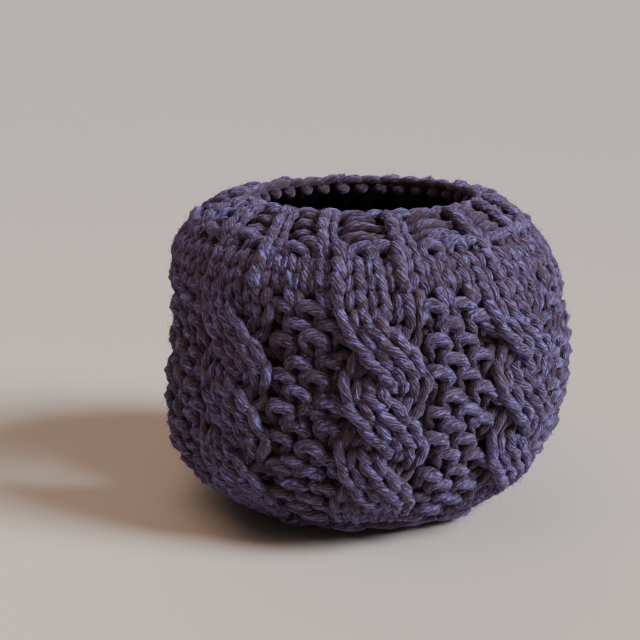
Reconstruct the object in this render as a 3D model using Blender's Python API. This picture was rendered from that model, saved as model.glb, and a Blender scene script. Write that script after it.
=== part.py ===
"""A knitted tea cosy as it stands when it has taken the round shape of its pot.

Two knitted sides, front and back, are sewn together above and below two openings: one for the
spout at -X, one for the handle at +X. Each side is one thick cloth, knitted bottom up in rows.
The first row lies flat on the table, the next rows swell out under the belly, the middle rows
carry three cables, and the last rows draw in over the shoulder to an open top.

Metres, +Z up. The origin is on the table at the middle of the hem. The front looks towards -Y.
"""

import math
from collections import namedtuple

import bmesh
import bpy
import numpy as np

MM = 0.001

# The cloth
CLOTH = 6.0 * MM  # thickness of the moss stitch ground
ROWS = 26  # knitted rows from the hem to the bound-off edge
ROW_FACETS = 2  # facets up one row of the outer face
SEAM_GAP = 0.36 * MM  # between the two sides where they are sewn

# The outer face of the ground, hem to top edge. lean is how far a ring's centre lies towards +X:
# the belly bulges to the handle side, and the shoulder and the hem lie nearer to the spout.
Ring = namedtuple("Ring", "height radius lean")
RINGS = [
    Ring(0.0, 37.0, -1.9),
    Ring(0.0, 43.0, -1.9),
    Ring(3.0, 50.0, -2.4),
    Ring(8.0, 58.5, -3.3),
    Ring(14.0, 65.5, -3.6),
    Ring(21.0, 73.0, -3.4),
    Ring(31.0, 79.5, -2.5),
    Ring(43.0, 82.0, -1.1),
    Ring(56.0, 83.0, 0.1),
    Ring(70.0, 82.2, 0.5),
    Ring(84.0, 80.6, 0.2),
    Ring(96.0, 79.0, -1.1),
    Ring(106.0, 76.5, -2.9),
    Ring(114.0, 71.0, -3.4),
    Ring(120.5, 62.5, -3.1),
    Ring(124.5, 54.5, -2.3),
    Ring(126.0, 49.5, -1.9),
]

# The openings between the two sides, each a slit with rounded ends
Slit = namedtuple("Slit", "bottom top half_width")
SPOUT_SLIT = Slit(27.0 * MM, 104.0 * MM, 12.0 * MM)
HANDLE_SLIT = Slit(58.0 * MM, 117.0 * MM, 8.5 * MM)
SLIT_FULLNESS = 0.6  # below 1 the slit widens quickly at its ends

# The knitted edge of a slit stands out in a row of bumps
BUMP_RISE = 1.8 * MM
BUMP_ROWS = 2.5  # from one bump to the next
BUMP_REACH = 12.0  # degrees from the edge at which the bumps have died away

# The bands of stitches on one side, as angles from its middle in degrees. steps is the number of
# facets across the band.
Band = namedtuple("Band", "stitch start end steps")
BANDS = [
    Band("moss", -90.0, -53.3, 6),
    Band("cable", -53.3, -29.3, 8),
    Band("moss", -29.3, -12.0, 2),
    Band("cable", -12.0, 12.0, 8),
    Band("moss", 12.0, 29.3, 2),
    Band("cable", 29.3, 53.3, 8),
    Band("moss", 53.3, 90.0, 6),
]

# Each cable is two strands that cross left over right every fourth row
CABLE_RISE = 3.0 * MM  # how far a strand stands above the moss stitch
CROSSING_LIFT = 1.2 * MM  # how much higher the front strand is at a crossing
CROSSING_ROWS = 4
FIRST_CROSSING = 8.7  # in rows from the hem
CABLE_FROM, CABLE_TO = 5.0, 21.0  # the rows between which the cables stand up
STRAND_SWING = 0.42  # how far a strand's middle moves each way, in half widths of the cable
FADE_ROWS = 2.0


def smooth_curve(xs, ys):
    """A smooth function through the points that never overshoots them."""
    xs, ys = np.array(xs), np.array(ys)
    steps = np.diff(xs)
    rises = np.diff(ys) / steps
    slopes = np.zeros(len(xs))
    slopes[0], slopes[-1] = rises[0], rises[-1]
    for k in range(1, len(steps)):
        before, after = rises[k - 1], rises[k]
        if before * after > 0:
            slopes[k] = 2 * before * after / (before + after)

    def at(x):
        k = min(max(int(np.searchsorted(xs, x)) - 1, 0), len(steps) - 1)
        t = (x - xs[k]) / steps[k]
        held = (1 + 2 * t) * (1 - t) ** 2 * ys[k] + t * t * (3 - 2 * t) * ys[k + 1]
        turned = t * (1 - t) ** 2 * slopes[k] - t * t * (1 - t) * slopes[k + 1]
        return float(held + steps[k] * turned)

    return at


heights = [ring.height * MM for ring in RINGS]
radii = [ring.radius * MM for ring in RINGS]
along = np.concatenate([[0.0], np.cumsum(np.hypot(np.diff(radii), np.diff(heights)))])
ring_rows = along * ROWS / along[-1]
height_at = smooth_curve(ring_rows, heights)
radius_at = smooth_curve(ring_rows, radii)
lean_at = smooth_curve(ring_rows, [ring.lean * MM for ring in RINGS])


def outward(row):
    """The direction away from the cloth's outer face at a row, as (radial, up)."""
    nudge = 0.25
    low, high = max(row - nudge, 0.0), min(row + nudge, ROWS)
    radial, up = height_at(high) - height_at(low), radius_at(low) - radius_at(high)
    length = math.hypot(radial, up)
    return radial / length, up / length


def ease(t):
    t = min(max(t, 0.0), 1.0)
    return t * t * (3 - 2 * t)


def cable_rise(angle, row):
    """How far the cables lift the outer face, here in one side's own angles."""
    band = next((b for b in BANDS if b.stitch == "cable" and b.start < angle < b.end), None)
    if band is None:
        return 0.0
    half = (band.end - band.start) / 2
    offset = (angle - band.start) / half - 1
    phase = math.pi * (row - FIRST_CROSSING + CROSSING_ROWS / 2) / CROSSING_ROWS
    rise = 0.0
    for strand in (1, -1):
        middle = strand * STRAND_SWING * math.cos(phase)
        top = CABLE_RISE + CROSSING_LIFT * strand * math.sin(phase)
        across = (offset - middle) / (1 - STRAND_SWING)
        rise = max(rise, top * (1 - across * across))
    return rise * ease((row - CABLE_FROM) / FADE_ROWS) * ease((CABLE_TO - row) / FADE_ROWS)


def slit_half_width(slit, height):
    t = (height - slit.bottom) / (slit.top - slit.bottom)
    if not 0 < t < 1:
        return 0.0
    return slit.half_width * math.sin(math.pi * t) ** SLIT_FULLNESS


def edge_bumps(from_edge, row, opened):
    """The bumps along a slit, which fade into the cloth. opened is 1 where the slit is widest."""
    wave = 0.5 - 0.5 * math.cos(2 * math.pi * row / BUMP_ROWS)
    return BUMP_RISE * wave * opened * ease(1 - from_edge / BUMP_REACH)


def cloth_point(angle, row, turn, inside):
    """A point of one side's cloth. turn is the angle of the side's middle from the front."""
    height, radius = height_at(row), radius_at(row)
    left, right = (SPOUT_SLIT, HANDLE_SLIT) if turn == 0 else (HANDLE_SLIT, SPOUT_SLIT)
    slit = left if angle < 0 else right
    half_width = slit_half_width(slit, height)
    edge = math.degrees(math.acos((SEAM_GAP / 2 + half_width) / radius))
    outermost = max(b.end for b in BANDS if b.stitch == "cable")
    if abs(angle) > outermost:  # the moss stitch beside a slit is narrower there
        share = (abs(angle) - outermost) / (90.0 - outermost)
        angle = math.copysign(outermost + share * (edge - outermost), angle)
    radial, up = outward(row)
    bumps = edge_bumps(edge - abs(angle), row, half_width / slit.half_width)
    out = -CLOTH if inside else cable_rise(angle, row) + bumps
    around = math.radians(angle + turn)
    reach = radius + radial * out
    return (
        lean_at(row) + reach * math.sin(around),
        -reach * math.cos(around),
        height + up * out,
    )


def band_angles():
    angles = [BANDS[0].start]
    for band in BANDS:
        width = (band.end - band.start) / band.steps
        angles += [band.start + width * (k + 1) for k in range(band.steps)]
    return angles


def knitted_side(name, turn, material):
    """One side: its outer and inner faces are grids, and a strip joins them along all edges."""
    mesh = bpy.data.meshes.new(name)
    bm = bmesh.new()
    for inside in (False, True):
        angles = band_angles()[:: 2 if inside else 1]  # the inner face is plainer
        columns = len(angles) - 1
        facets = ROWS // 2 if inside else ROWS * ROW_FACETS
        grid = bmesh.ops.create_grid(bm, x_segments=columns, y_segments=facets, size=0.5)
        for vert in grid["verts"]:
            angle = angles[round((vert.co.x + 0.5) * columns)]
            row = round((vert.co.y + 0.5) * facets) * ROWS / facets
            vert.co = cloth_point(angle, row, turn, inside)
    rims = [edge for edge in bm.edges if edge.is_boundary]
    bmesh.ops.bridge_loops(bm, edges=rims)
    bmesh.ops.recalc_face_normals(bm, faces=bm.faces)
    for face in bm.faces:
        face.smooth = True
    bm.to_mesh(mesh)
    bm.free()
    mesh.materials.append(material)
    mesh.set_sharp_from_angle(angle=math.radians(60))
    side = bpy.data.objects.new(name, mesh)
    bpy.context.scene.collection.objects.link(side)
    return side


def charcoal_wool():
    material = bpy.data.materials.new("charcoal_wool")
    material.use_nodes = True
    shader = material.node_tree.nodes["Principled BSDF"]
    shader.inputs["Base Color"].default_value = (0.055, 0.048, 0.068, 1.0)
    shader.inputs["Roughness"].default_value = 0.95
    shader.inputs["Metallic"].default_value = 0.0
    return material


for leftover in list(bpy.data.objects):
    bpy.data.objects.remove(leftover)

wool = charcoal_wool()
knitted_side("front_side", 0.0, wool)
knitted_side("back_side", 180.0, wool)
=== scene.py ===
"""A knitted tea cosy, loop by loop, on the solids of its two sides.

Each side is knitted bottom up from one thick plied yarn: a drawn-in hem, three cables with moss
stitch between them, plain rows at the shoulder, a short rib and a bound-off edge. The sides are
sewn together above and below the slits for the spout (-X) and the handle (+X).
"""

import math
from collections import namedtuple

import bmesh
import bpy
import numpy as np
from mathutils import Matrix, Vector


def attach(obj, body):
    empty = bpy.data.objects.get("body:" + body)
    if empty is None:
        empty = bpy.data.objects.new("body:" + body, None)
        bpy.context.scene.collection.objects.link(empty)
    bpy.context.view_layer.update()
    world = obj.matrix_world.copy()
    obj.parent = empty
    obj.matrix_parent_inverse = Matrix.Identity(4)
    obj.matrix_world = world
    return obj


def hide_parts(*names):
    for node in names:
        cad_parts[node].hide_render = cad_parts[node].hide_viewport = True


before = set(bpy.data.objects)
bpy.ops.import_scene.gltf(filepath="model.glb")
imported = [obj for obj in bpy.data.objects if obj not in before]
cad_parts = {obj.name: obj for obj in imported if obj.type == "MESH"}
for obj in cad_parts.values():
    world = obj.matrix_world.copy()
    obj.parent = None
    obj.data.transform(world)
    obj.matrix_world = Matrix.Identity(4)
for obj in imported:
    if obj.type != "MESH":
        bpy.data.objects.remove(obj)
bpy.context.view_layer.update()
MM = 0.001
SIDES = (("front", 0.0), ("back", 180.0))  # and where the middle of each side faces, in degrees

# ---- The knitted rows --------------------------------------------------------------------------
# One length of four-ply wool runs back and forth across each side, a row at a time, and turns at
# the slits. A knit stitch shows its two legs and a purl stitch the bump across its foot. The four
# stitches of each cable cross two over two, always the same way, every fourth row.

Ring = namedtuple("Ring", "height radius lean")  # millimetres, hem to top edge
RINGS = [
    Ring(0.0, 38.0, -1.9),
    Ring(0.0, 45.0, -1.9),
    Ring(2.7, 52.0, -2.4),
    Ring(7.5, 60.5, -3.3),
    Ring(13.6, 67.2, -3.6),
    Ring(21.0, 73.8, -3.4),
    Ring(31.0, 79.5, -2.5),
    Ring(43.0, 82.0, -1.1),
    Ring(56.0, 83.0, 0.1),
    Ring(70.0, 82.2, 0.5),
    Ring(84.0, 80.6, 0.2),
    Ring(96.0, 79.0, -1.1),
    Ring(106.0, 76.5, -2.9),
    Ring(114.0, 71.0, -3.4),
    Ring(120.5, 62.5, -3.1),
    Ring(124.5, 54.5, -2.3),
    Ring(126.0, 49.5, -1.9),
]
ROWS = 26
Slit = namedtuple("Slit", "bottom top half_width")  # millimetres
SPOUT_SLIT = Slit(27.0, 104.0, 12.0)
HANDLE_SLIT = Slit(58.0, 117.0, 8.5)
SLIT_FULLNESS = 0.6
SIDE_EDGE = 90.0  # degrees from the middle of a side to its edge
CABLES_END = 53.3  # past this angle the stitches give way to the slits


def smooth_curve(xs, ys):
    """A smooth function through the points that never overshoots them."""
    xs, ys = np.array(xs, float), np.array(ys, float)
    steps = np.diff(xs)
    rises = np.diff(ys) / steps
    before, after = rises[:-1], rises[1:]
    same_way = before * after > 0
    turned = np.where(same_way, 2 * before * after / np.where(same_way, before + after, 1), 0)
    slopes = np.concatenate([rises[:1], turned, rises[-1:]])

    def at(x):
        k = np.clip(np.searchsorted(xs, x) - 1, 0, len(steps) - 1)
        t = (x - xs[k]) / steps[k]
        held = (1 + 2 * t) * (1 - t) ** 2 * ys[k] + t * t * (3 - 2 * t) * ys[k + 1]
        return held + steps[k] * (t * (1 - t) ** 2 * slopes[k] - t * t * (1 - t) * slopes[k + 1])

    return at


ring_heights = np.array([ring.height for ring in RINGS])
ring_radii = np.array([ring.radius for ring in RINGS])
ring_rows = np.concatenate([[0], np.cumsum(np.hypot(np.diff(ring_radii), np.diff(ring_heights)))])
ROW = ring_rows[-1] / ROWS  # the height of one row, up the cloth
ring_rows = ring_rows / ROW
height_at = smooth_curve(ring_rows, ring_heights)
radius_at = smooth_curve(ring_rows, ring_radii)
lean_at = smooth_curve(ring_rows, [ring.lean for ring in RINGS])

YARN = 2.2  # radius of the yarn
SWING = 1.75  # how far a loop swings to the front and the back of the cloth's middle
MIDDLE = -(YARN + SWING)  # the cloth's middle, below its outer face
EDGE_INSET = 4.2  # from the cloth's edge to the last stitch, which the turned yarn fills
SLOPE_SPAN = 0.25  # rows to each side, over which the cloth's slope is taken


def slit_half_width(slit, height):
    t = np.clip((height - slit.bottom) / (slit.top - slit.bottom), 0, 1)
    return slit.half_width * np.sin(np.pi * t) ** SLIT_FULLNESS


def slit_beside(turn, angle, height):
    """Half the width of the slit at the nearer edge of a side that is turned from the front."""
    left, right = (SPOUT_SLIT, HANDLE_SLIT) if turn == 0 else (HANDLE_SLIT, SPOUT_SLIT)
    return np.where(angle < 0, slit_half_width(left, height), slit_half_width(right, height))


def on_cloth(turn, angle, row, out, inset=EDGE_INSET):
    """Points in metres on a side that is turned from the front, out from its ground's outer face.

    Angles run from -90 at its left edge to 90. Past the end rows the cloth runs straight on."""
    angle, row, out, inset = np.broadcast_arrays(*(np.float64(v) for v in (angle, row, out, inset)))
    held = np.clip(row, 0.0, ROWS)
    low, high = np.clip([held - SLOPE_SPAN, held + SLOPE_SPAN], 0, ROWS)
    climb, widen = height_at(high) - height_at(low), radius_at(high) - radius_at(low)
    length = np.hypot(climb, widen)
    climb, widen = climb / length, widen / length
    height = height_at(held) + (row - held) * ROW * climb
    radius = radius_at(held) + (row - held) * ROW * widen
    edge = np.degrees(np.arccos((slit_beside(turn, angle, height) + inset) / radius))
    share = (np.abs(angle) - CABLES_END) / (SIDE_EDGE - CABLES_END)
    given_way = np.sign(angle) * (CABLES_END + share * (edge - CABLES_END))
    around = np.radians(np.where(share > 0, given_way, angle) + turn)
    reach = radius + climb * out
    x, y = lean_at(held) + reach * np.sin(around), -reach * np.cos(around)
    return np.stack([x, y, height - widen * out], -1) * MM


def off_table(points, radius):
    """Lifts the points that would put a yarn of this radius, in millimetres, into the table."""
    points[..., 2] = np.maximum(points[..., 2], radius * MM)


# The chart of one side: bands from left to right, in degrees from its middle, and the stitches
# that each has in the hem rows and in the rows above.
Band = namedtuple("Band", "name start end hem body")
BANDS = [
    Band("moss", -90.0, -53.3, 5, 6),
    Band("cable", -53.3, -29.3, 3, 4),
    Band("moss", -29.3, -12.0, 2, 4),
    Band("cable", -12.0, 12.0, 3, 4),
    Band("moss", 12.0, 29.3, 2, 4),
    Band("cable", 29.3, 53.3, 3, 4),
    Band("moss", 53.3, 90.0, 5, 6),
]
RIB_ENDS = (-90, -76, -68, -55, -47, -34.1, -25.9, -16.8, -8.6, 6.2, 14.4, 32.4, 40.6, 54, 62, 74,
            82, 90)  # purl and knit by turns
GARTER_ROWS = 4
PLAIN_FROM, RIB_FROM = 20, 23  # the cloth narrows at the rib: two stitches are worked as one

CROSSINGS = (8.7, 12.7, 16.7)  # the rows where a cable's strands cross
CROSSING_HALF, CROSSING_REACH = 2.0, 2.4  # rows over which they cross, and stand out or sink
CROSSING_RISE, CROSSING_SINK = 2.8, 1.6
CROSSING_SQUEEZE = 0.08
CABLE_RISE = 1.8
RIB_RISE, RIB_SINK = 1.5, 0.5
RIB_PLUMP, RIB_THIN = 1.22, 0.80  # the left and the right leg of each knit stitch
RIB_LEAN, RIB_FAN = -1.1, 0.04  # degrees that the rib leans and spreads in each row
RIB_LEFT_LEG, RIB_RIGHT_LEG = (-0.06, 0.40), (0.24, 0.30)  # each leg's place and spread
COLUMNS = (-32.3, -9.0, 9.0, 38.3)  # stitches that carry the rib on through the plain rows
COLUMN_RISE, COLUMN_PLUMP = 1.3, 1.14
CABLE_PLUMP, MOSS_PLUMP = 1.07, 1.12
NUDGE = 0.05  # rows, to take the slope of a cable's strand

Stitch = namedtuple("Stitch", "knit start end cable place")  # knit is 1, or -1 for purl


def stitches_of(row):
    """One row's stitches from left to right."""
    stitches = []
    if row >= RIB_FROM:
        spans = enumerate(zip(RIB_ENDS[:-1], RIB_ENDS[1:]))
        return [Stitch(1 if n % 2 else -1, start, end, None, 0) for n, (start, end) in spans]
    for band in BANDS:
        count = band.hem if row < GARTER_ROWS else band.body
        width = (band.end - band.start) / count
        for place in range(count):
            if row < GARTER_ROWS:
                knit = row % 2 == 0
            else:
                knit = band.name == "cable" or row >= PLAIN_FROM or (place + row) % 2 == 0
            cable = (band.start + band.end) / 2 if band.name == "cable" else None
            start = band.start + place * width
            stitches.append(Stitch(1 if knit else -1, start, start + width, cable, place))
    return stitches


def ease(t):
    t = np.clip(t, 0.0, 1.0)
    return t * t * (3 - 2 * t)


def in_cables(angle):
    """1 across each cable, falling to 0 at its edges."""
    edges = [(band.start, band.end) for band in BANDS if band.name == "cable"]
    return sum(ease((angle - start + 1) / 3) * ease((end + 1 - angle) / 3) for start, end in edges)


def cable_swell(row):
    """The cables rise out of the hem rows and sink again into the plain ones."""
    return CABLE_RISE * ease((row - 4.5) / 2.0) * ease((21.5 - row) / 3.0)


def strand_side(row):
    """+1 while a cable's first strand lies on the right, and -1 on the left."""
    side = 1.0
    for n, crossing in enumerate(CROSSINGS):
        side -= 2 * (-1) ** n * ease((row - crossing + CROSSING_HALF) / (2 * CROSSING_HALF))
    return side


def strand_height(row, first):
    """How far a strand stands out as it crosses: the strand that comes from the right is on top."""
    over = 0.0
    for n, crossing in enumerate(CROSSINGS):
        t = np.clip(abs(row - crossing) / CROSSING_REACH, 0, 1)
        over += (1 if (n % 2 == 0) == first else -1) * (1 - t * t) ** 1.5
    return over * (CROSSING_RISE if over > 0 else CROSSING_SINK)


def place_in_row(stitch, row, x, v):
    """The angle, row and rise of a point x stitches from a stitch's middle."""
    width = stitch.end - stitch.start
    if stitch.cable is None:
        middle = (stitch.start + stitch.end) / 2
        in_rib = float(ease(v - RIB_FROM + 0.7))
        leaning = (RIB_LEAN + RIB_FAN * middle) * math.cos(math.radians(middle))
        middle += leaning * max(v - RIB_FROM + 1, 0)
        if row >= RIB_FROM and stitch.knit > 0 and abs(x) < 0.45:
            leg, spread = RIB_RIGHT_LEG if x > 0 else RIB_LEFT_LEG
            x = leg + spread * x
        return middle + x * width, v, in_rib * (RIB_RISE if stitch.knit > 0 else -RIB_SINK)
    swell = float(cable_swell(v))
    if row < GARTER_ROWS:
        return (stitch.start + stitch.end) / 2 + x * width, v, swell
    first = (stitch.place >= 2) == (strand_side(row + 0.5) > 0)
    sign = 1 if first else -1
    degree = float(radius_at(min(max(v, 0), ROWS))) * math.pi / 180  # millimetres to a degree
    slope = sign * (strand_side(v + NUDGE) - strand_side(v - NUDGE)) / (2 * NUDGE)
    slope *= width * degree / ROW
    steep = math.hypot(1, slope)
    off = (stitch.place % 2 - 0.5 + x) * width * degree
    off *= 1 - CROSSING_SQUEEZE * (steep - 1)
    angle = stitch.cable + sign * strand_side(v) * width + off / steep / degree
    return angle, v - off * slope / steep / ROW, swell + strand_height(v, first)


draw = np.random.default_rng(7)
UNEVEN_WIDTH, UNEVEN_SHIFT, UNEVEN_LIFT = 0.05, 0.03, 0.05
UNEVEN_DEPTH, UNEVEN_THICKNESS = 0.09, 0.03
MOSS_SLACK = 3.0  # moss stitch never lies quite even
SLANT = 0.19  # rows that a bump falls over its stitch's width
KNIT_FOOT, PURL_FOOT = -0.24, -0.06

# Half a loop, foot to crown, as x in stitches, v in rows, depth in swings and thickness. The key
# is how the loop is made and then held: 1 for knit and -1 for purl. The yarn's twist throws the
# left leg of a knit loop forward, and leaves the right one thin and half sunk.
LEFT_HALVES = {
    (1, 1): ((0.30, -0.21, -1.2, 0.84), (0.11, 0.00, 1.1, 0.92), (0.22, 0.55, 1.15, 1.02),
             (0.39, 1.14, 1.3, 1.00)),
    (1, -1): ((0.30, -0.21, -0.95, 0.84), (0.22, 0.10, -0.1, 0.80), (0.60, 0.52, 0.5, 0.92),
              (0.76, 0.98, 0.8, 1.06)),
    (-1, 1): ((0.30, -0.03, 0.95, 0.98), (0.15, 0.16, -0.3, 0.76), (0.22, 0.58, -0.5, 0.80),
              (0.40, 1.08, -0.8, 0.90)),
    (-1, -1): ((0.30, -0.03, 0.75, 0.96), (0.15, 0.10, -0.75, 0.86), (0.24, 0.56, -1.0, 0.90),
               (0.50, 0.82, 0.2, 1.05)),
}
RIGHT_HALVES = {
    (1, 1): ((0.30, -0.21, -1.0, 0.84), (0.09, 0.08, 0.7, 0.80), (0.28, 0.56, 1.2, 1.14),
             (0.42, 1.02, 0.6, 0.86)),
    (1, -1): ((0.30, -0.21, -0.95, 0.84), (0.18, 0.06, 0.5, 0.80), (0.58, 0.50, 0.6, 0.94),
              (0.78, 0.96, 1.0, 1.08)),
    (-1, 1): ((0.30, -0.03, 0.95, 0.98), (0.15, 0.16, -0.3, 0.76), (0.22, 0.58, -0.5, 0.80),
              (0.40, 1.08, -0.8, 0.90)),
    (-1, -1): ((0.30, -0.03, 0.75, 0.96), (0.15, 0.10, -0.75, 0.86), (0.24, 0.56, -1.0, 0.90),
               (0.50, 0.76, 0.5, 1.12)),
}
CROWNS = {
    (1, 1): (1.36, -1.4, 0.86),
    (1, -1): (1.21, 1.45, 1.14),
    (-1, 1): (1.28, -1.3, 0.86),
    (-1, -1): (1.24, 1.45, 1.24),
}


def loop_of(stitches, n, above, row):
    """The yarn's course through one stitch: rows of angle, row, out, inset and thickness."""
    stitch = stitches[n]
    knit = stitch.knit
    middle = (stitch.start + stitch.end) / 2
    holder = next((s.knit for s in above if s.start <= middle <= s.end), 1)
    if stitch.cable is not None and row < RIB_FROM - 1:
        holder = 1 if row >= GARTER_ROWS - 1 else -knit
    made = knit, holder
    in_column = PLAIN_FROM <= row < RIB_FROM and any(abs(middle - at) < 1 for at in COLUMNS)
    left = stitches[n - 1].knit if n else knit
    sinker = (
        -0.50,
        ((KNIT_FOOT if knit > 0 else PURL_FOOT) + (KNIT_FOOT if left > 0 else PURL_FOOT)) / 2,
        -(knit + left) / 2,
        0.88,
    )
    course = [sinker, *((-x, v, z, size) for x, v, z, size in LEFT_HALVES[made])]
    course += [(0.0, *CROWNS[made]), *RIGHT_HALVES[made][::-1]]
    wide, shift, lift, deep, thick, skew = draw.normal(0, 1, 6)
    slack = MOSS_SLACK if knit * holder < 0 else 1.0
    knots = []
    for x, v, z, size in course:
        inner = 1 - 2 * abs(x) ** 2
        if stitch.cable is None and (v > 0.8 and holder < 0 or v < 0 and knit < 0):
            v -= SLANT * x
        aside = UNEVEN_SHIFT * slack * (shift + skew * (v - 0.5))
        x = x * (1 + UNEVEN_WIDTH * wide) + inner * aside
        angle, v, rise = place_in_row(stitch, row, x, row + v + UNEVEN_LIFT * slack * lift)
        size *= 1 + UNEVEN_THICKNESS * slack * thick
        if stitch.cable is not None:
            size *= CABLE_PLUMP
        elif row >= RIB_FROM and knit > 0 and z > 0:
            size *= RIB_PLUMP if x < 0 else RIB_THIN
        elif GARTER_ROWS <= row < PLAIN_FROM:
            size *= MOSS_PLUMP
        if in_column and x < 0 and z > 0:
            size *= COLUMN_PLUMP
            rise += COLUMN_RISE
        out = MIDDLE + SWING * (z + UNEVEN_DEPTH * slack * deep) + rise
        knots.append((angle, v, out, EDGE_INSET, size))
    return knots


def turn_of_yarn(row, side):
    """The yarn turned up from one row into the next at an edge of the cloth."""
    reach = ((-0.12, 2.0), (0.26, 4.2), (0.66, 2.0))
    return [
        (side * SIDE_EDGE, row + v, MIDDLE + 1.4, EDGE_INSET - out, 1.05) for v, out in reach
    ]


def rows_of_side():
    """A whole side's yarn, and where in it each row begins."""
    knots, begins = [], []
    for row in range(ROWS):
        stitches, above = stitches_of(row), stitches_of(min(row + 1, ROWS - 1))
        course = [knot for n in range(len(stitches)) for knot in loop_of(stitches, n, above, row)]
        course.append((SIDE_EDGE, row - 0.24, MIDDLE, EDGE_INSET, 0.95))
        begins.append(len(knots))
        knots += course if row % 2 == 0 else course[::-1]
        if row < ROWS - 1:
            knots += turn_of_yarn(row, 1 if row % 2 == 0 else -1)
    return np.array(knots), begins + [len(knots)]


PLIES, STRANDS_A_PLY = 4, 3
PLY_RIDGE, PLY_GROOVE = 1.06, 0.86
TWIST_LENGTH = 31.0  # of yarn for one turn of its plies
AT_ONCE = 20000  # points whose depth is worked out together


def outline_of(name, radii):
    """The outline of a yarn or a fibre, which is swept along its course."""
    outline = bpy.data.curves.new(name, "CURVE")
    outline.dimensions = "2D"
    ring = outline.splines.new("POLY")
    ring.points.add(len(radii) - 1)
    for k, (point, radius) in enumerate(zip(ring.points, radii)):
        corner = 2 * math.pi * k / len(radii)
        point.co = (radius * MM * math.cos(corner), radius * MM * math.sin(corner), 0, 1)
    ring.use_cyclic_u = True
    outline = bpy.data.objects.new(name, outline)
    bpy.context.scene.collection.objects.link(outline)
    outline.hide_render = True
    return outline


ply_outline = outline_of("ply_outline", [PLY_RIDGE * YARN, PLY_GROOVE * YARN] * PLIES)


# Painted shade: the wool is darkened by this depth, most in the middle of the cloth.
def depth_in_cloth(points, turn):
    """1 for points in the middle of a side's cloth, falling to 0 at its two faces."""
    rows = np.linspace(-0.5, ROWS + 0.5, 271)
    course = on_cloth(0.0, 0.0, rows, 0.0) / MM
    reach, height = -course[:, 1], course[:, 2]
    lean = lean_at(np.clip(rows, 0, ROWS))
    depths = []
    for block in np.array_split(points / MM, 1 + len(points) // AT_ONCE):
        across = block[:, 0, None] - lean
        away = np.hypot(across, block[:, 1, None]) - reach
        above = block[:, 2, None] - height
        nearest = np.argmin(away**2 + above**2, 1)
        each = np.arange(len(block))
        climb = np.gradient(height)[nearest]
        widen = np.gradient(reach)[nearest]
        out = away[each, nearest] * climb - above[each, nearest] * widen
        out /= np.hypot(climb, widen)
        angle = np.degrees(np.arctan2(across[each, nearest], -block[:, 1])) - turn
        angle = np.abs((angle + 180) % 360 - 180)
        out -= in_cables(angle) * cable_swell(rows[nearest])
        depths.append(1 - np.clip(np.abs(out - MIDDLE) / -MIDDLE, 0, 1))
    return np.concatenate(depths)


def lay_yarn(name, turn, strands, outline=ply_outline, twist=TWIST_LENGTH, kind="NURBS"):
    """One piece of yarn or fibres: each strand is its points and its thickness at each of them."""
    curve = bpy.data.curves.new(name, "CURVE")
    curve.dimensions = "3D"
    curve.twist_mode = "MINIMUM"
    curve.bevel_mode = "OBJECT"
    curve.bevel_object = outline
    curve.use_fill_caps = True
    curve.resolution_u = curve.render_resolution_u = 2
    runs = []
    for points, thickness in strands:
        run = np.linalg.norm(np.diff(points, axis=0), axis=1) / MM
        run = np.concatenate([[0], np.cumsum(run)])
        runs.append(run[-1])
        spline = curve.splines.new(kind)
        spline.points.add(len(points) - 1)
        spline.points.foreach_set("co", np.column_stack([points, np.ones(len(points))]).ravel())
        spline.points.foreach_set("radius", thickness)
        if twist:
            spline.points.foreach_set("tilt", -run * 2 * math.pi / twist)
        if kind == "NURBS":
            spline.order_u = 4
            spline.use_endpoint_u = True
            spline.resolution_u = 2
    swept = bpy.data.objects.new(name, curve)
    bpy.context.scene.collection.objects.link(swept)
    shape = swept.evaluated_get(bpy.context.evaluated_depsgraph_get())
    mesh = bpy.data.meshes.new_from_object(shape)
    bpy.data.objects.remove(swept)
    mesh.name = name
    if len(runs) == 1:  # the texture runs along the yarn in millimetres
        texture = mesh.uv_layers[0].uv
        along = np.empty(2 * len(texture), np.float32)
        texture.foreach_get("vector", along)
        along[0::2] *= runs[0]
        texture.foreach_set("vector", along)
    corners = np.empty(3 * len(mesh.vertices), np.float32)  # painted shade: the wool is darkened deep in the cloth
    mesh.vertices.foreach_get("co", corners)
    depth = mesh.attributes.new("depth", "FLOAT", "POINT")
    depth.data.foreach_set("value", depth_in_cloth(corners.reshape(-1, 3), turn))
    mesh.shade_smooth()
    mesh.materials.clear()
    mesh.materials.append(wool)
    piece = bpy.data.objects.new(name, mesh)
    bpy.context.scene.collection.objects.link(piece)
    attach(piece, "root")
    return piece


class Dye:
    """A socket of a material's tree. Arithmetic on it adds Math nodes to the tree."""

    def __init__(self, tree, socket=None):
        self.tree, self.socket = tree, socket

    def node(self, kind, settings=None, values=None, output=0):
        """Adds any other node: its settings first, then the values or links of its inputs."""
        made = self.tree.nodes.new(kind)
        for name, value in (settings or {}).items():
            if name != "stops":
                setattr(made, name, value)
                continue
            stops = made.color_ramp.elements
            while len(stops) < len(value):
                stops.new(1.0)
            for stop, (position, colour) in zip(stops, value):
                stop.position, stop.color = position, (*colour, 1)
        for name, value in (values or {}).items():
            if isinstance(value, Dye):
                self.tree.links.new(value.socket, made.inputs[name])
            else:
                made.inputs[name].default_value = value
        return Dye(self.tree, made.outputs[output])

    def maths(self, operation, a, b=0.0):
        return self.node("ShaderNodeMath", {"operation": operation}, {0: a, 1: b})

    def __add__(self, other):
        return self.maths("ADD", self, other)

    def __sub__(self, other):
        return self.maths("SUBTRACT", self, other)

    def __rsub__(self, other):
        return self.maths("SUBTRACT", other, self)

    def __mul__(self, other):
        return self.maths("MULTIPLY", self, other)

    __radd__, __rmul__ = __add__, __mul__


# The heather's tones; the painted shade below also takes the tone down towards INK and CHARCOAL.
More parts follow.
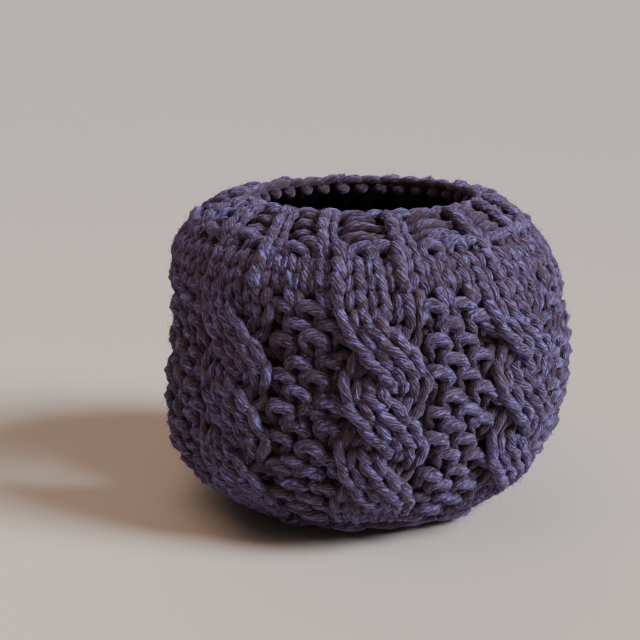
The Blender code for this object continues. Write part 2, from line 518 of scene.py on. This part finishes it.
INK, CHARCOAL, SLATE = (0.016, 0.006, 0.003), (0.046, 0.027, 0.026), (0.080, 0.064, 0.136)
LILAC, PEAT = (0.184, 0.162, 0.450), (0.076, 0.045, 0.050)
FIBRE_TONES, HEATHER_TONES = 1.35, 0.45  # how far the fibres differ, and whole lengths of a ply
DARKNESS = 0.965
# Painted shade: the tone is lowered in the grooves between the strands and deep in the cloth.
GROOVE_SHADE, DEPTH_SHADE = 0.08, 0.58
PEAT_SHARE = 0.55


def wool_dye():
    """Heather wool of charcoal, slate, lilac and peat strands, three to a ply, with painted shade.
    """
    material = bpy.data.materials.new("heather_wool")
    material.use_nodes = True
    tree = material.node_tree
    bsdf = tree.nodes["Principled BSDF"]
    start = Dye(tree)
    yarn = start.node("ShaderNodeUVMap")
    along = yarn.node("ShaderNodeSeparateXYZ", values={0: yarn})
    around = Dye(tree, along.socket.node.outputs[1]) * (2 * math.pi)
    east, north = around.maths("COSINE", around), around.maths("SINE", around)

    def streaks(count, per_mm, detail):
        """Noise drawn out along the plies, with count streaks about the yarn."""
        reach = count / (2 * math.pi)
        spot = {0: east * reach, 1: north * reach, 2: along * per_mm}
        where = start.node("ShaderNodeCombineXYZ", values=spot)
        noise = {"Vector": where, "Scale": 1.0, "Detail": detail}
        return start.node("ShaderNodeTexNoise", values=noise)

    strands = streaks(16.0, 0.55, 1.0)
    fibres = streaks(30.0, 1.2, 2.0)
    heather = streaks(5.0, 0.12, 0.0)
    groove = 0.5 - 0.5 * around.maths("COSINE", around * (STRANDS_A_PLY * PLIES))
    depth = start.node("ShaderNodeAttribute", {"attribute_name": "depth"}, output=2)
    tone = strands * FIBRE_TONES + fibres * FIBRE_TONES + heather * HEATHER_TONES
    # Painted shade: the grooves between the strands and the points deep in the cloth are darkened.
    tone = tone - DARKNESS - groove * GROOVE_SHADE - depth * DEPTH_SHADE
    tones = [(0.14, INK), (0.40, CHARCOAL), (0.62, SLATE), (0.95, LILAC)]
    colour = start.node("ShaderNodeValToRGB", {"stops": tones}, {0: tone})
    warm = start.node("ShaderNodeMapRange", None, {0: streaks(5.0, 0.20, 1.0), 1: 0.42, 2: 0.60})
    mixed = start.node(
        "ShaderNodeMix",
        {"data_type": "RGBA"},
        {"Factor": warm * PEAT_SHARE, 6: colour, 7: (*PEAT, 1)},
        output=2,
    )
    tree.links.new(mixed.socket, bsdf.inputs["Base Color"])
    relief = strands * 0.8 + fibres * 0.7 - groove * 0.3
    bump = start.node("ShaderNodeBump", None, {"Height": relief, "Strength": 0.6, "Distance": MM})
    tree.links.new(bump.socket, bsdf.inputs["Normal"])
    bsdf.inputs["Roughness"].default_value = 0.95
    bsdf.inputs["Specular IOR Level"].default_value = 0.12
    bsdf.inputs["Sheen Weight"].default_value = 0.3
    bsdf.inputs["Sheen Roughness"].default_value = 0.6
    bsdf.inputs["Sheen Tint"].default_value = (0.45, 0.40, 0.80, 1)
    return material


wool = wool_dye()
yarn_pieces = {name: [] for name, turn in SIDES}
side_knots = {}
OVERLAP = 4  # knots shared by two lengths, so that the yarn runs through
LENGTHS = (("hem_rows", 0, 7), ("lower_rows", 7, 14), ("upper_rows", 14, 20), ("top_rows", 20, 26))
for side, turn in SIDES:
    knots, begins = rows_of_side()
    side_knots[side] = knots
    for length, first, last in LENGTHS:
        part = knots[max(begins[first] - OVERLAP, 0) : begins[last] + OVERLAP]
        points = on_cloth(turn, *part[:, :4].T)
        off_table(points, PLY_RIDGE * YARN * part[:, 4])
        yarn_pieces[side].append(lay_yarn(f"{side}_{length}", turn, [(points, part[:, 4])]))

# ---- The cast-on and bound-off edges -----------------------------------------------------------
# The first row grows from a chain of loops at the hem, and the last is bound off: each stitch is
# drawn over the next, which leaves a plump chain along the top of the cloth.

CHAIN_INSET = 0.3  # the end links meet those of the other side
LINK_REACH = 0.42  # how far each loop reaches along the chain, in links
CHAIN_JOG = 0.06


def chain_edge(turn, row, out, links, half_width, half_height):
    """A chain of loops along a side at one row: each loop lies in the one before."""
    t = np.arange(8 * links + 1) / 8
    turns = 2 * np.pi * t
    s = np.clip(t + LINK_REACH * (1 - np.cos(turns)), 0, links)
    angle = -SIDE_EDGE + 2 * SIDE_EDGE * s / links
    jog = draw.normal(0, CHAIN_JOG, (3, len(t)))
    across = out + half_width * np.sin(turns) * (1 + jog[0]) + jog[1]
    rise = -half_height * np.cos(2 * turns) + jog[2]
    points = on_cloth(turn, angle, row + rise / ROW, across, CHAIN_INSET)
    thickness = 0.98 + 0.1 * np.abs(np.sin(turns))
    off_table(points, PLY_RIDGE * YARN * thickness)
    return points, thickness


for side, turn in SIDES:
    hem_links, top_links = len(stitches_of(0)), len(stitches_of(ROWS - 1))
    cast_on = chain_edge(turn, -0.42, MIDDLE - 0.4, hem_links, half_width=1.7, half_height=0.5)
    bound_off = chain_edge(
        turn, ROWS + 0.30, MIDDLE + 0.3, top_links, half_width=2.3, half_height=0.9
    )
    yarn_pieces[side].append(lay_yarn(f"{side}_cast_on_edge", turn, [cast_on]))
    yarn_pieces[side].append(lay_yarn(f"{side}_bound_off_edge", turn, [bound_off]))

# ---- The side seams ----------------------------------------------------------------------------
# The same wool, split to two plies, laces the sides together at each edge, above and below its
# slit. It lies between the turned ends of the rows and draws them up to each other.

SEWING_THICKNESS = 0.68
SEWING_STEP = 0.25  # rows from one point of the sewing yarn to the next
SEWING_OUT, SEWING_SWING = 0.6, 1.3  # from the cloth's middle, to its front and back by turns
SEWING_REACH = 2.2  # into each side
FROM_EDGES, PAST_SLIT = 0.2, 0.15  # rows
seams = []
for across, slit in ((-1, SPOUT_SLIT), (1, HANDLE_SLIT)):
    slit_rows = np.interp([slit.bottom, slit.top], ring_heights[1:], ring_rows[1:])
    below = FROM_EDGES, slit_rows[0] + PAST_SLIT
    above = slit_rows[1] - PAST_SLIT, ROWS + FROM_EDGES
    for first, last in (below, above):
        steps = np.arange(int((last - first) / SEWING_STEP) + 1)
        row = first + SEWING_STEP * steps
        into = SEWING_REACH * np.cos(np.pi * steps / 2)
        out = MIDDLE + SEWING_OUT + SEWING_SWING * np.cos(np.pi * steps)
        points = on_cloth(0.0, across * SIDE_EDGE, row, out, into)
        off_table(points, PLY_RIDGE * YARN * SEWING_THICKNESS)
        seams.append((points, np.full(len(points), SEWING_THICKNESS)))
lay_yarn("side_seams", 0.0, seams)

# ---- The loose fibres --------------------------------------------------------------------------
# Wool is never smooth: the ends and bends of single fibres stand off the yarn in a short haze,
# most of all on the outside of the loops, where the cloth is handled.

FIBRE = 0.07  # radius of a fibre, with those that cling to it
FIBRES_A_SIDE = 13500
FIBRE_LENGTHS = (1.5, 4.8)
FIBRE_STANDS = (0.12, 0.75)  # how steeply a fibre leaves the yarn
FIBRE_CURLS = (0.0, 0.9)  # and how far it bends back
FIBRE_SIZES = (0.7, 1.25)
FIBRE_TAPER = np.array([1.0, 0.95, 0.45])
fibre_outline = outline_of("fibre_outline", [FIBRE] * 3)


def unit(vectors):
    return vectors / np.linalg.norm(vectors, axis=-1, keepdims=True)


for side, turn in SIDES:
    knots = side_knots[side]
    outer = np.flatnonzero(knots[1:-1, 2] > MIDDLE + 0.2 * SWING) + 1
    picked = draw.choice(outer, FIBRES_A_SIDE)
    course = on_cloth(turn, *knots[:, :4].T)
    raised = knots[:, :4] + [0, 0, 1, 0]
    outward = unit((on_cloth(turn, *raised.T) - course)[picked])
    along = unit(course[picked + 1] - course[picked - 1])
    beside = unit(np.cross(along, outward))
    lean = np.radians(draw.uniform(-85, 85, (len(picked), 1)))
    off = unit(outward * np.cos(lean) + beside * np.sin(lean))
    root = (course[picked - 1] + 4 * course[picked] + course[picked + 1]) / 6
    root = root + off * 0.8 * YARN * MM * knots[picked, 4:5]
    way = np.where(draw.random((len(picked), 1)) < 0.5, 1, -1)
    length = draw.uniform(*FIBRE_LENGTHS, (len(picked), 1)) * MM
    stand = draw.uniform(*FIBRE_STANDS, (len(picked), 1))
    first = unit(along * way + off * stand + draw.normal(0, 0.22, root.shape))
    stray = draw.normal(0, 0.35, root.shape)
    second = unit(first + stray - off * draw.uniform(*FIBRE_CURLS, stand.shape))
    bend = root + first * length * 0.5
    tip = root + (first + second) * length * 0.5
    courses = np.stack([root, bend, tip], 1)
    off_table(courses, 1.2 * FIBRE)
    sizes = draw.uniform(*FIBRE_SIZES, len(courses))
    fibres = [(points, FIBRE_TAPER * size) for points, size in zip(courses, sizes)]
    piece = lay_yarn(f"{side}_loose_fibres", turn, fibres, fibre_outline, None, "POLY")
    yarn_pieces[side].append(piece)

# ---- The painted shade sheet -------------------------------------------------------------------
# Painted shade: a thin near-black sheet in the middle of each side's cloth closes the gaps between
# the loops and shows only as darkness deep in the stitches. The real cloth has no such sheet.

SHADE_SHEET_THICKNESS = 1.0
SEAM_GAP = 0.4  # between the two sides' shade sheets where they are sewn together
SHADE_SHEET_INSET = 3.2  # behind the row ends along a slit

shade_sheet_material = bpy.data.materials.new("painted_shade_sheet")
shade_sheet_material.use_nodes = True
shade_sheet_bsdf = shade_sheet_material.node_tree.nodes["Principled BSDF"]
place = Dye(shade_sheet_material.node_tree).node("ShaderNodeTexCoord", output=3)
noise = {"Vector": place, "Scale": 900.0, "Detail": 2.0}
grain = place.node("ShaderNodeTexNoise", values=noise)
# Painted shade: the sheet's near-black tones.
tones = [(0.3, (0.004, 0.003, 0.003)), (0.75, (0.022, 0.015, 0.017))]
shade = place.node("ShaderNodeValToRGB", {"stops": tones}, {0: grain})
shade_sheet_material.node_tree.links.new(shade.socket, shade_sheet_bsdf.inputs["Base Color"])
shade_sheet_bump = place.node("ShaderNodeBump", None, {"Height": grain, "Strength": 0.7, "Distance": MM})
shade_sheet_material.node_tree.links.new(shade_sheet_bump.socket, shade_sheet_bsdf.inputs["Normal"])
shade_sheet_bsdf.inputs["Roughness"].default_value = 0.95
shade_sheet_bsdf.inputs["Specular IOR Level"].default_value = 0.1

for side, turn in SIDES:
    bm = bmesh.new()
    bmesh.ops.create_grid(bm, x_segments=72, y_segments=52, size=1.0)
    spots = np.array([vert.co[:2] for vert in bm.verts])
    rows = (spots[:, 1] + 1) / 2 * (ROWS + 0.2)
    angles = spots[:, 0] * SIDE_EDGE
    open_by = slit_beside(turn, angles, height_at(np.clip(rows, 0, ROWS)))
    inset = SEAM_GAP / 2 + np.minimum(open_by, SHADE_SHEET_INSET)
    out = MIDDLE + in_cables(angles) * cable_swell(rows)
    for vert, co in zip(bm.verts, on_cloth(turn, angles, rows, out, inset)):
        vert.co = co
    bmesh.ops.recalc_face_normals(bm, faces=bm.faces)
    bmesh.ops.solidify(bm, geom=bm.faces, thickness=SHADE_SHEET_THICKNESS * MM)
    mesh = bpy.data.meshes.new(f"{side}_dark_shade_sheet")
    bm.to_mesh(mesh)
    bm.free()
    mesh.shade_smooth()
    mesh.materials.append(shade_sheet_material)
    shade_sheet_object = bpy.data.objects.new(mesh.name, mesh)
    bpy.context.scene.collection.objects.link(shade_sheet_object)
    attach(shade_sheet_object, "root")
    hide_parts(f"{side}_side")

# ---- The table and the light -------------------------------------------------------------------
# A plain pale table top under soft light from the upper right, with a little warm light from
# above on the left and from behind.

floor_mesh = bpy.data.meshes.new("table")
bm = bmesh.new()
bmesh.ops.create_grid(bm, x_segments=1, y_segments=1, size=15.0)
bm.to_mesh(floor_mesh)
bm.free()
floor = bpy.data.objects.new("table", floor_mesh)
bpy.context.scene.collection.objects.link(floor)
pale = bpy.data.materials.new("pale_table")
pale.use_nodes = True
pale_bsdf = pale.node_tree.nodes["Principled BSDF"]
pale_bsdf.inputs["Base Color"].default_value = (0.58, 0.53, 0.47, 1)
pale_bsdf.inputs["Roughness"].default_value = 0.8
floor_mesh.materials.append(pale)

world = bpy.data.worlds.new("room")
bpy.context.scene.world = world
world.use_nodes = True
sky = Dye(world.node_tree).node("ShaderNodeTexCoord")
height = sky.node("ShaderNodeSeparateXYZ", None, {0: sky}, output=2)
tones = [(0.09, (0.63, 0.585, 0.53)), (0.20, (0.074, 0.061, 0.052))]
glow = sky.node("ShaderNodeValToRGB", {"stops": tones}, {0: height})
world.node_tree.links.new(glow.socket, world.node_tree.nodes["Background"].inputs["Color"])


def shine(kind, name, place, size, power, colour):
    """A light aimed at the cosy. Its size is an angle for a sun and metres for a panel."""
    data = bpy.data.lights.new(name, kind)
    data.energy, data.color = power, colour
    if kind == "SUN":
        data.angle = size
    else:
        data.size = size
    light = bpy.data.objects.new(name, data)
    light.location = place
    aim = Vector((0, 0, 0.06)) - Vector(place)
    light.rotation_euler = aim.to_track_quat("-Z", "Y").to_euler()
    bpy.context.scene.collection.objects.link(light)


shine("SUN", "window", (0.66, -0.30, 0.57), math.radians(24), 5.6, (0.88, 0.92, 1.0))
shine("AREA", "room_light", (-0.30, -0.30, 1.0), 0.7, 3.6, (1.0, 0.66, 0.50))
shine("SUN", "back_light", (-0.20, 0.90, 0.70), math.radians(60), 0.8, (1.0, 0.76, 0.62))

camera_data = bpy.data.cameras.new("camera")
camera_data.lens = 80.04
camera_data.sensor_width = 36
camera = bpy.data.objects.new("camera", camera_data)
bpy.context.scene.collection.objects.link(camera)
AROUND, DOWN = math.radians(4.4), math.radians(13.8)  # it looks from a little left, and above
ASIDE = math.atan(43 / 1423)  # and turns a little left, which brings the cosy right of the middle
DISTANCE, HEIGHT, ACROSS = 0.570, 0.2136, -0.0019
camera.location = (ACROSS - DISTANCE * math.sin(AROUND), -DISTANCE * math.cos(AROUND), HEIGHT)
camera.rotation_euler = (math.radians(90) - DOWN, 0, -AROUND + ASIDE)
bpy.context.scene.camera = camera
